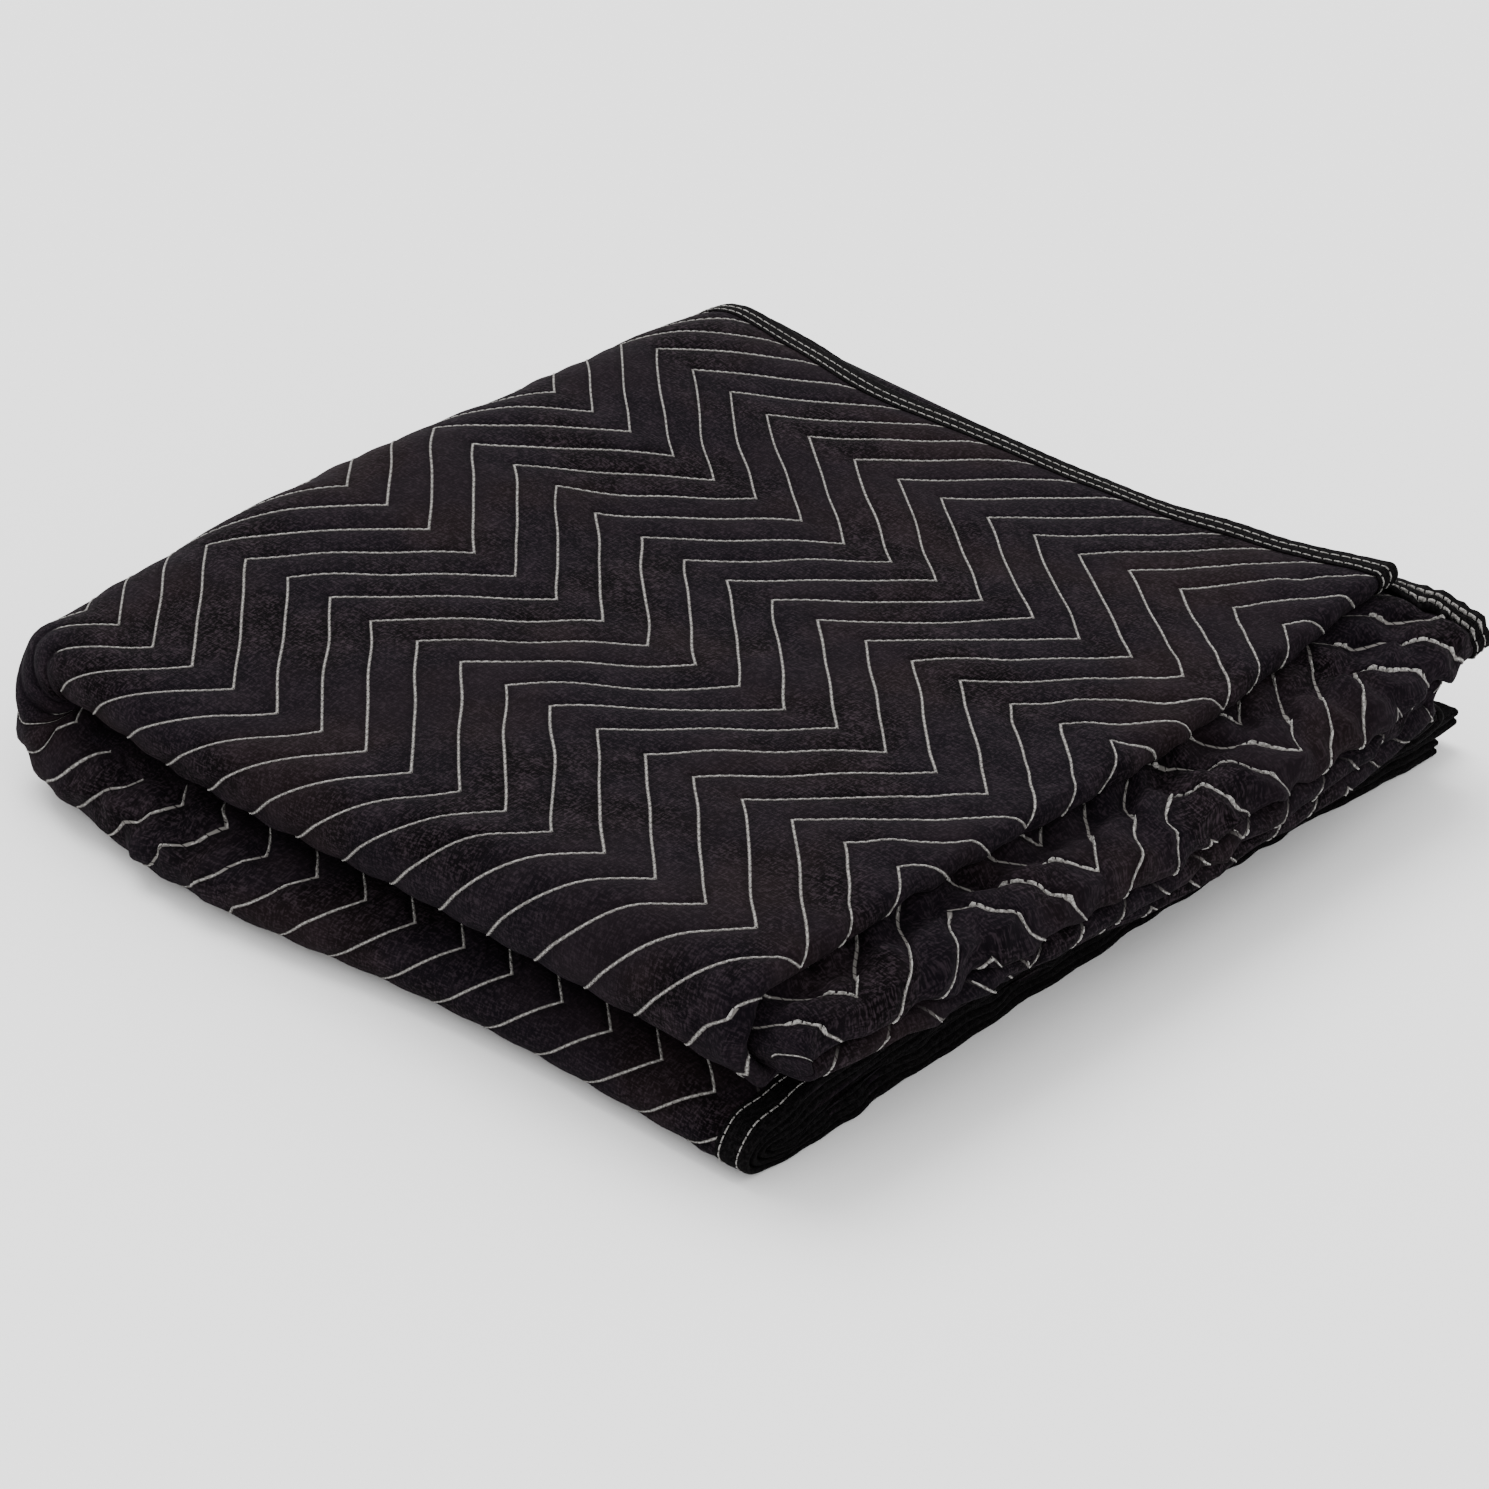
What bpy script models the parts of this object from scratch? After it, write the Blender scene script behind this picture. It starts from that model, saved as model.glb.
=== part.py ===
"""A quilted moving blanket, folded to a sixteenth and lying on a surface.

The blanket is one padded sheet with a binding sewn round its four edges. It is
folded in half across its length, twice across its width and once more across
its length. The sheet is laid out flat, and each fold carries it round a half
turn. Last, the pack settles into the uneven shape that it lies in.
Lengths are in metres. X runs from the big rounded fold to the loose ends, and
Y from the front fold to the bound sides.
"""

import math

import bpy
import numpy as np

# The cloth
LENGTH = 1.83
WIDTH = 1.95
THICK = 0.0045
LAYER_GAP = 0.0008
RIM_THICK = 0.0020

# The quilting: zigzag seams side by side along the length of the sheet
SEAM_PITCH = 0.0261
ZIGZAG_RISE = 0.0722
ZIGZAG_SWAY = 0.0682
SEAM_SINK = 0.0008
PUFF_RISE = 0.0013
FIRST_ROW = 0.048
SEAM_PHASE = 0.001

# The binding
BINDING_WIDTH = 0.014
BINDING_HALF = 0.0020
SLOT_HALF = 0.0015
BINDING_LIP = 0.0010
CLEARANCE = 0.0003
TAPER = 0.0064

# Facets round each half turn
END_FOLD_STEPS = 4
SIDE_FOLD_STEPS = 4
FRONT_FOLD_STEPS = 6
BACK_FOLD_STEPS = 8

# How far the ends and sides of each quarter of the width reach past the top one
REACH = (
    # quarter, ridge_reach, loose_end_reach
    (0.0, 0.033, 0.004),
    (0.5, 0.036, 0.005),
    (1.0, 0.029, 0.007),
    (1.5, 0.037, 0.009),
    (1.8, 0.036, 0.010),
    (2.0, 0.027, 0.010),
    (2.2, 0.036, 0.010),
    (2.5, 0.034, 0.009),
    (2.8, 0.018, 0.008),
    (3.0, 0.003, 0.007),
    (3.6, 0.000, 0.004),
    (3.9, -0.012, 0.004),
    (4.0, -0.012, 0.004),
)
SECOND_SIDE_REACH = 0.016

# Folds: the height of each fold's centre line and its outer radius
END_CENTRE = -LAYER_GAP / 2
END_RADIUS = THICK - END_CENTRE
END_LENGTH = math.pi * END_RADIUS
DOUBLE = 2 * THICK + LAYER_GAP
SIDE_CENTRE = THICK - DOUBLE - LAYER_GAP / 2
SIDE_RADIUS = THICK - SIDE_CENTRE
SIDE_LENGTH = math.pi * SIDE_RADIUS
SIDE_START = (WIDTH - SIDE_LENGTH) / 2
FOUR_LOW = 2 * SIDE_CENTRE - THICK
FRONT_CENTRE = THICK + LAYER_GAP / 2
FRONT_RADIUS = FRONT_CENTRE - FOUR_LOW
FRONT_LENGTH = math.pi * FRONT_RADIUS
FRONT_START = WIDTH / 4 - FRONT_LENGTH / 2
BACK_CENTRE = 2 * FRONT_CENTRE - FOUR_LOW + LAYER_GAP / 2
BACK_RADIUS = BACK_CENTRE - FOUR_LOW
BACK_LENGTH = math.pi * BACK_RADIUS
BACK_START = LENGTH / 4 - BACK_LENGTH / 2

PACK_LONG = BACK_START + BACK_RADIUS
PACK_WIDE = FRONT_START + FRONT_RADIUS
PACK_HIGH = 2 * BACK_RADIUS - LAYER_GAP

# How the pack settles: gentle swellings of its height
SWELLS = (
    # along, across, spread_along, spread_across, lift
    (0.03, 0.42, 0.12, 0.12, 0.137),
    (0.05, 0.22, 0.08, 0.10, 0.096),
    (0.15, 0.02, 0.11, 0.05, -0.144),
    (0.38, 0.02, 0.08, 0.06, 0.020),
    (0.43, 0.13, 0.06, 0.08, 0.043),
    (0.22, 0.27, 0.11, 0.13, -0.038),
    (0.42, 0.42, 0.10, 0.10, 0.028),
    (0.02, 0.05, 0.08, 0.08, -0.091),
    (0.45, 0.48, 0.07, 0.06, 0.100),
)
CREVICE_AT_BACK_FOLD = 0.080
CREVICE_AT_LOOSE_ENDS = -0.050

# Layers that reach past the top one lie a little below it and hang down towards their ends
TOP_LAYER_LOW = PACK_HIGH - DOUBLE
LEDGE_GAP = 0.055
LEDGE_GAP_RUN = 0.030
LEDGE_DROP = 0.14
LEDGE_LENGTH = 0.045

# Along the front the lower half sags, which opens the crevice, most of all at the loose ends
SAG = 0.0085
SAG_START = 0.020
SAG_RUN = 0.050
SAG_WIDTH = 0.110
TIP_SAG = 0.0035
TIP_SPREAD = 0.090

# Where the front of the lower half bulges out, and where the bound sides are drawn in.
# Each fades with distance from its side, and the bulges fade with height too.
FRONT_FADE = 0.22
SIDE_FADE = 0.25
BULGE_FADE_START = 0.30
BULGE_FADE_RUN = 0.35
FRONT_BULGES = (
    # along, spread, reach
    (0.15, 0.10, 0.018),
    (0.02, 0.05, 0.004),
)
SIDE_HOLLOWS = (
    # along, spread, depth
    (0.00, 0.05, 0.006),
    (0.12, 0.07, 0.017),
    (0.27, 0.12, 0.016),
)

# The corner between the front and back folds is drawn in
ROUNDED_CORNER = 0.060
CORNER_PULL_ALONG = 0.010
CORNER_PULL_ACROSS = 0.007

# The lower half's corner between the loose ends and the bound sides is pushed out
LOWER_CORNER = 0.070
LOWER_CORNER_ALONG = 0.008
LOWER_CORNER_ACROSS = 0.010

# The upper half's lower layers are drawn in at their corner by the bound sides
NOTCH = 0.016
NOTCH_SHARE = 0.60
NOTCH_SHARE_SPREAD = 0.12
NOTCH_ALONG = 0.020
NOTCH_SPREAD = 0.060
NOTCH_WIDTH = 0.120

# The middle of the pack's footprint
MIDDLE_ALONG = PACK_LONG / 2 + 0.0170
MIDDLE_ACROSS = PACK_WIDE / 2 + 0.0024

# Stations of the straight runs, as shares of the run, and those of the ledge past the top layer
LOWER_RUN = (0.25, 0.50, 0.75)
UPPER_RUN = (0.17, 0.34, 0.51, 0.68, 0.85)
LEDGE_RUN = (0.0, 0.5)
LEDGE_LEAST = 0.024

# Orders the station that follows a run after all of its own
LAST_KEY = 1e9

CLOTH_COLOUR = (0.013, 0.012, 0.014, 1.0)
BINDING_COLOUR = (0.010, 0.009, 0.010, 1.0)


def clear_scene():
    for item in list(bpy.data.objects):
        bpy.data.objects.remove(item, do_unlink=True)


def material(name, colour, roughness):
    made = bpy.data.materials.new(name)
    made.use_nodes = True
    shader = made.node_tree.nodes["Principled BSDF"]
    shader.inputs["Base Color"].default_value = colour
    shader.inputs["Roughness"].default_value = roughness
    shader.inputs["Metallic"].default_value = 0.0
    made.diffuse_color = colour
    return made


def reach(path_y, column):
    """A column of REACH at a place across the width."""
    table = np.array(REACH)
    return np.interp(path_y / (WIDTH / 4), table[:, 0], table[:, column])


def ridge_start(path_y):
    """Where the end fold begins, measured along the sheet."""
    return LENGTH / 2 - END_LENGTH / 2 + reach(path_y, 1)


def loose_end(path_y):
    """Where the outer cloth's loose end lies, measured along the sheet."""
    return -reach(path_y, 2)


def far_side(path_y):
    """Where the inner cloth's loose end lies, measured along the sheet."""
    return 2 * ridge_start(path_y) + END_LENGTH - loose_end(path_y)


def bend(along, up, start, length, centre, over):
    """Points before start stay, and those past it go round a half turn about centre."""
    side = 1.0 if over else -1.0
    radius = side * (centre - up)
    angle = np.clip((along - start) / length, 0.0, 1.0) * math.pi
    past = np.maximum(along - start - length, 0.0)
    turned = np.minimum(along, start) + radius * np.sin(angle) - past
    return turned, centre - side * radius * np.cos(angle)


def smooth_step(value):
    share = np.clip(value, 0.0, 1.0)
    return share * share * (3.0 - 2.0 * share)


def hill(place, centre, spread):
    return np.exp(-(((place - centre) / spread) ** 2))


def settle(x, y, z, upper):
    """Swells the pack, tilts and opens the crevice between its halves and moves its sides unevenly."""
    share = np.clip(z / PACK_HIGH, 0.0, 1.0)
    below_top = smooth_step((TOP_LAYER_LOW - z) / LAYER_GAP)
    lift = -LEDGE_GAP * below_top * smooth_step((x - PACK_LONG) / LEDGE_GAP_RUN + 1.0)
    lift = lift - LEDGE_DROP * smooth_step((x - PACK_LONG) / LEDGE_LENGTH)
    for along, across, spread_along, spread_across, rise in SWELLS:
        lift = lift + rise * hill(x, along, spread_along) * hill(y, across, spread_across)
    tilt_change = CREVICE_AT_LOOSE_ENDS - CREVICE_AT_BACK_FOLD
    tilt = CREVICE_AT_BACK_FOLD + tilt_change * smooth_step(x / PACK_LONG)
    high = z * (1.0 + lift) + tilt * 4.0 * share * (1.0 - share) * PACK_HIGH
    sag = (SAG + TIP_SAG * hill(x, PACK_LONG, TIP_SPREAD)) * smooth_step((x - SAG_START) / SAG_RUN)
    sag = sag * (1.0 - smooth_step(y / SAG_WIDTH)) * np.minimum(2.0 * share, 1.0)
    high = np.where(upper, high, high - sag)
    lower = 1.0 - smooth_step((share - BULGE_FADE_START) / BULGE_FADE_RUN)
    near_front = 1.0 - smooth_step(y / FRONT_FADE)
    near_side = smooth_step((y - PACK_WIDE) / SIDE_FADE + 1.0)
    bulge = sum(out * hill(x, along, spread) for along, spread, out in FRONT_BULGES)
    hollow = sum(deep * hill(x, along, spread) for along, spread, deep in SIDE_HOLLOWS)
    notch = NOTCH * smooth_step((y - PACK_WIDE) / NOTCH_WIDTH + 1.0)
    notch = notch * hill(share, NOTCH_SHARE, NOTCH_SHARE_SPREAD)
    notch = notch * hill(x, PACK_LONG + NOTCH_ALONG, NOTCH_SPREAD)
    corner = hill(x, 0.0, ROUNDED_CORNER) * hill(y, 0.0, ROUNDED_CORNER)
    far_corner = lower * hill(x, PACK_LONG, LOWER_CORNER) * hill(y, PACK_WIDE, LOWER_CORNER)
    moved_x = x + CORNER_PULL_ALONG * corner + LOWER_CORNER_ALONG * far_corner
    moved_y = y + CORNER_PULL_ACROSS * corner + LOWER_CORNER_ACROSS * far_corner
    return moved_x, moved_y - bulge * lower * near_front - hollow * near_side - notch, high


def folded(path_x, path_y, up):
    """Takes a point of the flat sheet to its place in the settled pack."""
    x, z = bend(path_x, up, ridge_start(path_y), END_LENGTH, END_CENTRE, over=False)
    y, z = bend(path_y, z, SIDE_START, SIDE_LENGTH, SIDE_CENTRE, over=False)
    y, z = bend(y, z, FRONT_START, FRONT_LENGTH, FRONT_CENTRE, over=True)
    upper = x > BACK_START + BACK_LENGTH / 2
    x, z = bend(x, z, BACK_START, BACK_LENGTH, BACK_CENTRE, over=True)
    x, y, z = settle(PACK_LONG - x, PACK_WIDE - y, z - FOUR_LOW, upper)
    return np.stack([x - MIDDLE_ALONG, y - MIDDLE_ACROSS, z], axis=-1)


def shares(start, length, steps):
    return [start + length * step / steps for step in range(steps + 1)]


def rim_stations():
    """Steps in from an edge: the edge, the inner line of the binding and the full thickness."""
    thin = BINDING_WIDTH + 2 * CLEARANCE
    return [0.0, thin, thin + TAPER]


def zigzag_rows():
    """Places of the zigzag's corners across one quarter, from the side edge to the front fold."""
    top = WIDTH / 4 - FIRST_ROW
    return [top - ZIGZAG_RISE * row for row in range(5, -1, -1)]


def rows_across():
    """Every row of the sheet from one side edge to the other."""
    rim = rim_stations()
    plain = zigzag_rows()
    first_half = [step - SECOND_SIDE_REACH for step in rim] + plain
    first_half += shares(FRONT_START, FRONT_LENGTH, FRONT_FOLD_STEPS)
    first_half += [WIDTH / 2 - row for row in reversed(plain)]
    second_half = [WIDTH - row for row in reversed(first_half[3:])]
    return (
        first_half
        + shares(SIDE_START, SIDE_LENGTH, SIDE_FOLD_STEPS)
        + second_half
        + [WIDTH - step for step in reversed(rim)]
    )


def outer_half(path_y):
    """Stations of the outer cloth at one row, from its loose end to the end fold."""
    end = loose_end(path_y)
    ridge = ridge_start(path_y)
    lower = [end + step for step in rim_stations()]
    lower += [lower[-1] + (BACK_START - lower[-1]) * share for share in LOWER_RUN]
    upper_start = BACK_START + BACK_LENGTH
    ledge = min(LENGTH / 2 - END_LENGTH / 2, ridge - LEDGE_LEAST)
    upper = [upper_start + (ledge - upper_start) * share for share in UPPER_RUN]
    upper += [ledge + (ridge - ledge) * share for share in LEDGE_RUN]
    return lower + shares(BACK_START, BACK_LENGTH, BACK_FOLD_STEPS) + upper + [ridge]


def stations_along(path_y):
    """Stations of a whole row, from one loose end round the end fold to the other."""
    half = outer_half(path_y)
    ridge = half[-1]
    turn = shares(ridge, END_LENGTH, END_FOLD_STEPS)[1:-1]
    back = [2 * ridge + END_LENGTH - station for station in reversed(half)]
    return half + turn + back


def half_thickness(path_x, path_y):
    """Half the sheet's thickness: thin under the binding, then full."""
    side = min(path_y + SECOND_SIDE_REACH, WIDTH - path_y)
    end = min(path_x - loose_end(path_y), far_side(path_y) - path_x)
    inside = (min(side, end) - BINDING_WIDTH - CLEARANCE) / TAPER
    share = min(max(inside, 0.0), 1.0)
    return (RIM_THICK + (THICK - RIM_THICK) * share) / 2


def seam_shift(path_y):
    """How far the zigzag has swayed at this row."""
    turns = (3 * WIDTH / 4 + FIRST_ROW - path_y) / ZIGZAG_RISE
    return ZIGZAG_SWAY * abs(turns - 2.0 * math.floor(turns / 2.0 + 0.5))


def quilted_bay(path_y, outer):
    """Whether the quilting shows on the lower and on the upper run of a row."""
    from_front = path_y - 3 * WIDTH / 4
    half_fold = FRONT_LENGTH / 2 - CLEARANCE
    lower = outer and abs(from_front) < half_fold
    upper = outer and from_front > -half_fold and path_y < WIDTH - rim_stations()[-1] + CLEARANCE
    return lower, upper


def quilted_run(path_y, start, end):
    """Seams and puff crests between two places of a row, as (key, place, rise)."""
    datum = ridge_start(path_y) + END_LENGTH / 2 + SEAM_PHASE - seam_shift(path_y)
    first = math.ceil(2 * (start - datum) / SEAM_PITCH + 0.3)
    last = math.floor(2 * (end - datum) / SEAM_PITCH - 0.3)
    return [
        (step, datum + step * SEAM_PITCH / 2, PUFF_RISE if step % 2 else -SEAM_SINK)
        for step in range(first, last + 1)
    ]


def face_row(path_y, outer):
    """One row of one face in five runs of (key, place, height). The second and fourth may be quilted."""
    plain = stations_along(path_y)
    low_first = len(rim_stations())
    low_last = low_first + len(LOWER_RUN)
    high_first = low_last + BACK_FOLD_STEPS + 1
    high_last = high_first + len(UPPER_RUN) + len(LEDGE_RUN)
    lower, upper = quilted_bay(path_y, outer)
    cuts = (0, low_first, low_last, high_first, high_last, len(plain))
    side = 1.0 if outer else -1.0
    runs = []
    for number, (first, last) in enumerate(zip(cuts, cuts[1:])):
        if (number == 1 and lower) or (number == 3 and upper):
            stations = quilted_run(path_y, plain[first - 1], plain[last])
        else:
            stations = [(None, place, 0.0) for place in plain[first:last]]
        runs.append([
            (key, place, THICK / 2 + side * half_thickness(place, path_y) + rise)
            for key, place, rise in stations
        ])
    return runs


def keyed(low, high):
    """Keys for the stations of two runs: their seams where both are quilted, else their order."""
    matched = all(station[0] is not None for station in low + high)
    if matched:
        return [(key, vertex) for key, vertex in low], [(key, vertex) for key, vertex in high]
    return tuple(
        [((place + 1) / (len(run) + 1), vertex) for place, (_, vertex) in enumerate(run)]
        for run in (low, high)
    )


def zip_runs(low, high, rising):
    """Triangles between two runs of (key, vertex). Stations with equal keys are joined."""
    faces = []
    i = 0
    j = 0
    while i < len(low) - 1 or j < len(high) - 1:
        next_low = low[i + 1][0] if i < len(low) - 1 else math.inf
        next_high = high[j + 1][0] if j < len(high) - 1 else math.inf
        a = low[i][1]
        d = high[j][1]
        if next_low == next_high:
            b = low[i + 1][1]
            c = high[j + 1][1]
            faces += [(a, b, c), (a, c, d)] if rising else [(a, b, d), (b, c, d)]
            i += 1
            j += 1
        elif next_low < next_high:
            faces.append((a, low[i + 1][1], d))
            i += 1
        else:
            faces.append((a, high[j + 1][1], d))
            j += 1
    return faces


def slope_sign(run_number, station_number, path_y):
    """Turns the diagonals round from one folded layer to the next, so that all lie the same way."""
    upper_stations = len(outer_half(path_y)) - len(rim_stations()) - BACK_FOLD_STEPS
    after_ridge = station_number - END_FOLD_STEPS // 2
    lower_outer = run_number <= 1 or (run_number == 2 and station_number < BACK_FOLD_STEPS // 2)
    upper_inner = run_number == 4 and 0 <= after_ridge < upper_stations
    along = -1 if lower_outer or upper_inner else 1
    across = 1 if int(path_y / (WIDTH / 4)) % 2 else -1
    return along * across


def with_ends(run, row, number):
    """A run with the stations just before and just after it in its row."""
    before = (-LAST_KEY, row[number - 1][-1][1])
    after = (LAST_KEY, row[number + 1][0][1])
    return [before, *run, after]


def face_between(low_row, high_row, path_y):
    """Triangles between two neighbouring rows, facing up on the flat sheet."""
    faces = []
    for number, (low, high) in enumerate(zip(low_row, high_row)):
        if number % 2:
            low, high = keyed(low, high)
            low = with_ends(low, low_row, number)
            high = with_ends(high, high_row, number)
            faces += zip_runs(low, high, slope_sign(number, 0, path_y) > 0)
            continue
        for place in range(len(low) - 1):
            pair_low = [(0, low[place][1]), (1, low[place + 1][1])]
            pair_high = [(0, high[place][1]), (1, high[place + 1][1])]
            faces += zip_runs(pair_low, pair_high, slope_sign(number, place, path_y) > 0)
    return faces


def face_points(rows, outer, first_vertex):
    """The points of one face of the sheet, and its rows as runs of (key, vertex)."""
    points = []
    numbered = []
    for path_y in rows:
        runs = []
        for run in face_row(path_y, outer):
            entries = []
            for key, place, height in run:
                entries.append((key, first_vertex + len(points)))
                points.append((place, path_y, height))
            runs.append(entries)
        numbered.append(runs)
    return points, numbered


def flat_row(row):
    return [vertex for run in row for _, vertex in run]


def mesh_object(name, points, faces, finish, collection):
    mesh = bpy.data.meshes.new(name)
    mesh.from_pydata(points, [], faces)
    mesh.validate()
    made = bpy.data.objects.new(name, mesh)
    mesh.materials.append(finish)
    collection.objects.link(made)
    mesh.shade_smooth()
    mesh.set_sharp_from_angle(angle=math.radians(50))
    return made


def quilted_panel(finish, collection):
    """The padded sheet: an outer face with its quilting, an inner face and the rim between them."""
    rows = rows_across()
    outer_points, outer_rows = face_points(rows, True, 0)
    inner_points, inner_rows = face_points(rows, False, len(outer_points))
    faces = []
    for number, path_y in enumerate(rows[:-1]):
        middle = (path_y + rows[number + 1]) / 2
        faces += face_between(outer_rows[number], outer_rows[number + 1], middle)
        inner = face_between(inner_rows[number], inner_rows[number + 1], middle)
        faces += [face[::-1] for face in inner]
    outer_ends = [flat_row(row) for row in outer_rows]
    inner_ends = [flat_row(row) for row in inner_rows]
    for row, turn in ((0, 1), (-1, -1)):
        outer = outer_ends[row]
        inner = inner_ends[row]
        for i in range(len(outer) - 1):
            faces.append((inner[i], inner[i + 1], outer[i + 1], outer[i])[::turn])
    for station, turn in ((0, 1), (-1, -1)):
        for r in range(len(rows) - 1):
            quad = (
                outer_ends[r][station],
                outer_ends[r + 1][station],
                inner_ends[r + 1][station],
                inner_ends[r][station],
            )
            faces.append(quad[::turn])
    flat = np.array(outer_points + inner_points)
    return mesh_object("quilted_panel", folded(*flat.T), faces, finish, collection)


def channel_section():
    """The binding's section as (outward, height) points: a U that opens inwards."""
    middle = THICK / 2
    return (
        (-BINDING_WIDTH, middle - BINDING_HALF),
        (BINDING_LIP, middle - BINDING_HALF),
        (BINDING_LIP, middle + BINDING_HALF),
        (-BINDING_WIDTH, middle + BINDING_HALF),
        (-BINDING_WIDTH, middle + SLOT_HALF),
        (CLEARANCE, middle + SLOT_HALF),
        (CLEARANCE, middle - SLOT_HALF),
        (-BINDING_WIDTH, middle - SLOT_HALF),
    )


def signed_volume(points, faces):
    """Six times the volume that four-cornered faces enclose, negative when they face inwards."""
    corners = points[np.array(faces)]
    return np.linalg.det(corners[:, [0, 1, 2]]).sum() + np.linalg.det(corners[:, [0, 2, 3]]).sum()


def binding(name, places, finish, collection):
    """A strip lofted through its places. Each is one section of flat points."""
    size = len(channel_section())
    count = len(places)
    faces = []
    for place in range(count - 1):
        for corner in range(size):
            beside = (corner + 1) % size
            first = place * size
            faces.append((first + corner, first + beside, first + size + beside, first + size + corner))
    for first, turn in ((0, -1), ((count - 1) * size, 1)):
        for quad in ((0, 1, 6, 7), (1, 2, 5, 6), (2, 3, 4, 5)):
            faces.append(tuple(first + corner for corner in quad)[::turn])
    flat = np.array(places).reshape(-1, 3)
    points = folded(*flat.T)
    if signed_volume(points, faces) < 0:
        faces = [face[::-1] for face in faces]
    return mesh_object(name, points, faces, finish, collection)


def end_binding(name, outer_cloth, finish, collection):
    """The strip along a loose end. It covers the sheet's corners."""
    rows = rows_across()
    rows[0] -= BINDING_LIP
    rows[-1] += BINDING_LIP
    places = []
    for row in rows:
        edge = loose_end(row) if outer_cloth else far_side(row)
        away = -1.0 if outer_cloth else 1.0
        places.append([(edge + away * out, row, height) for out, height in channel_section()])
    return binding(name, places, finish, collection)


def side_binding(name, edge, away, finish, collection):
    """The strip along a bound side, between the two end bindings."""
    inset = BINDING_WIDTH + CLEARANCE
    stations = [loose_end(edge) + inset, *stations_along(edge)[2:-2], far_side(edge) - inset]
    places = [
        [(station, edge + away * out, height) for out, height in channel_section()]
        for station in stations
    ]
    return binding(name, places, finish, collection)


def main():
    clear_scene()
    collection = bpy.data.collections.new("moving_blanket")
    bpy.context.scene.collection.children.link(collection)
    cloth = material("quilted_cloth", CLOTH_COLOUR, 0.92)
    tape = material("binding_tape", BINDING_COLOUR, 0.85)
    quilted_panel(cloth, collection)
    end_binding("end_binding_outer", True, tape, collection)
    end_binding("end_binding_inner", False, tape, collection)
    side_binding("side_binding_top", WIDTH, 1.0, tape, collection)
    side_binding("side_binding_second", -SECOND_SIDE_REACH, -1.0, tape, collection)


main()
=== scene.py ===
# Looks of a quilted moving blanket, folded to a sixteenth and lying flat.
# Every surface is worked out on the flat sheet and then carried through the blanket's folds.
import math

import bpy
import numpy as np
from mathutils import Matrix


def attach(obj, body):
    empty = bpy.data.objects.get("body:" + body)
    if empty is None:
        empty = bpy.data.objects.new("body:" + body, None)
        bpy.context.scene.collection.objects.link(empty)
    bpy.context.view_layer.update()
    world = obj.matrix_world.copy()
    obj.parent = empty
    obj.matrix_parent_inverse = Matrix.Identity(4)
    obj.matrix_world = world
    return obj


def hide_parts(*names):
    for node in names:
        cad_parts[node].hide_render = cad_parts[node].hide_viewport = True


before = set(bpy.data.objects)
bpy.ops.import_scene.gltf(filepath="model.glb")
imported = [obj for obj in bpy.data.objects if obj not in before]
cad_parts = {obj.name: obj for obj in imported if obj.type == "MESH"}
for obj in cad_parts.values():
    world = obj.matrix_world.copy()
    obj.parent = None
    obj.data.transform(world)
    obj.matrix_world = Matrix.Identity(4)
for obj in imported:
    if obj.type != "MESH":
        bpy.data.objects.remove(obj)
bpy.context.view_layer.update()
print("frame loaded")


# the view
cameraSettings = {
    "turn": 128.56, "down": 29.60, "roll": 4.21,  # degrees
    "target": (0.0317, -0.0373, 0.040),
    "distance": 1.7237,
    "lens": 96.71, "frameWidth": 36.0,  # mm
    "nearest": 0.05,
}


def placeCamera(s):
    # the camera looks along the direction given by turn and down, then rolls about it
    turn, down, roll = (math.radians(s[name]) for name in ("turn", "down", "roll"))
    forward = np.array([
        math.cos(turn) * math.cos(down),
        math.sin(turn) * math.cos(down),
        -math.sin(down),
    ])
    level = np.array([math.sin(turn), -math.cos(turn), 0.0])
    upward = np.cross(level, forward)
    right = math.cos(roll) * level + math.sin(roll) * upward
    top = -math.sin(roll) * level + math.cos(roll) * upward
    place = np.array(s["target"]) - s["distance"] * forward
    matrix = np.eye(4)
    matrix[:3] = np.stack([right, top, -forward, place], axis=1)
    data = bpy.data.cameras.new("photoCamera")
    data.lens = s["lens"]
    data.sensor_width = s["frameWidth"]
    data.clip_start = s["nearest"]
    camera = bpy.data.objects.new("photoCamera", data)
    camera.matrix_world = matrix.T.tolist()
    bpy.context.scene.collection.objects.link(camera)
    bpy.context.scene.camera = camera


placeCamera(cameraSettings)


# the flat sheet and its folds, in metres
sheet = {
    "length": 1.83, "width": 1.95, "thick": 0.0045, "gap": 0.0008,
    "rimThick": 0.0020, "bindingWidth": 0.014, "clearance": 0.0003, "taper": 0.0064,
    "secondSideReach": 0.016, "ledgeLeast": 0.024,
}
reachTable = np.array([
    # quarter of the width, how far the ridge reaches, how far the loose ends reach
    (0.0, 0.033, 0.004),
    (0.5, 0.036, 0.005),
    (1.0, 0.029, 0.007),
    (1.5, 0.037, 0.009),
    (1.8, 0.036, 0.010),
    (2.0, 0.027, 0.010),
    (2.2, 0.036, 0.010),
    (2.5, 0.034, 0.009),
    (2.8, 0.018, 0.008),
    (3.0, 0.003, 0.007),
    (3.6, 0.000, 0.004),
    (3.9, -0.012, 0.004),
    (4.0, -0.012, 0.004),
])


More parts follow.
